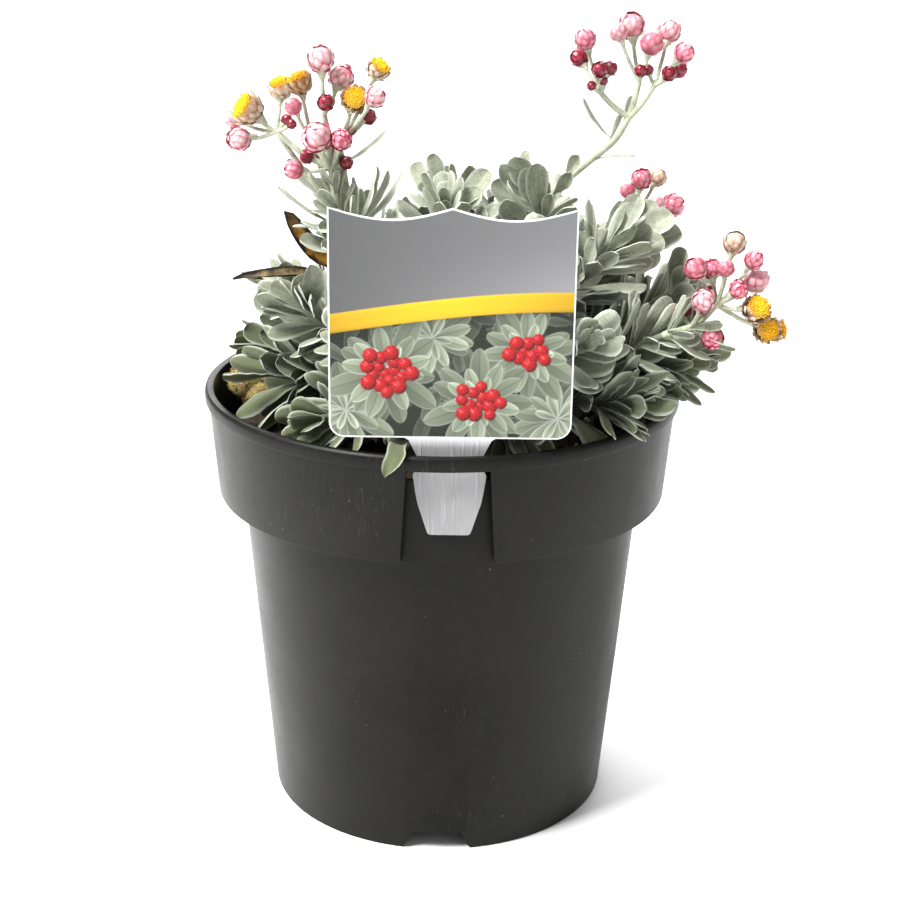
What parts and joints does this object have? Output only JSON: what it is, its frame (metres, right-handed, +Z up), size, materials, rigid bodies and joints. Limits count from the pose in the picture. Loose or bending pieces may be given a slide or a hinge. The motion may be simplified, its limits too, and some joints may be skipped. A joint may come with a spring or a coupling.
{
  "type": "potted helichrysum",
  "caption": "Round bushy everlasting with silver leaves and sprays of papery heads, in a tapered plant pot with a picture label in its rim slot.",
  "frame": {"origin": "centre of the pot's foot, on the flat pad under its floor, which stands on the ground", "axes": "+Z up along the pot's axis, -Y towards the side that carries the label, +X to the right of someone who faces the label"},
  "size_m": [0.2013, 0.1715, 0.2857],
  "materials": {
    "pot": "matt, fine scuffs",
    "compost": null,
    "label": "glossy print above, frosted tail below",
    "stone": "rough, mossy",
    "wood": "bark",
    "leaves": null,
    "flower_heads": "papery scales with a soft sheen",
    "withered_leaves": "dry and brittle"
  },
  "bodies": {
    "root": {"compost": "compost", "label": "label", "mossy_stone": "stone", "pot": "pot", "shoot_crest_1": "leaves", "shoot_crest_2": "leaves", "shoot_crest_3": "leaves", "shoot_middle_1": "leaves", "shoot_middle_10": "leaves", "shoot_middle_11": "leaves", "shoot_middle_2": "leaves", "shoot_middle_3": "leaves", "shoot_middle_4": "leaves", "shoot_middle_5": "leaves", "shoot_middle_6": "leaves", "shoot_middle_7": "leaves", "shoot_middle_8": "leaves", "shoot_middle_9": "leaves", "shoot_skirt_1": "leaves", "shoot_skirt_10": "leaves", "shoot_skirt_11": "leaves", "shoot_skirt_12": "leaves", "shoot_skirt_2": "leaves", "shoot_skirt_3": "leaves", "shoot_skirt_4": "leaves", "shoot_skirt_5": "leaves", "shoot_skirt_6": "leaves", "shoot_skirt_7": "leaves", "shoot_skirt_8": "leaves", "shoot_skirt_9": "leaves", "shoot_upper_1": "leaves", "shoot_upper_2": "leaves", "shoot_upper_3": "leaves", "shoot_upper_4": "leaves", "shoot_upper_5": "leaves", "shoot_upper_6": "leaves", "shoot_upper_7": "leaves", "shoot_upper_8": "leaves", "spray_back": "flower_heads", "spray_crest": "flower_heads", "spray_left": "flower_heads", "spray_right": "flower_heads", "withered_leaf_1": "withered_leaves", "withered_leaf_2": "withered_leaves", "woody_crown": "wood"}
  },
  "joints": []
}
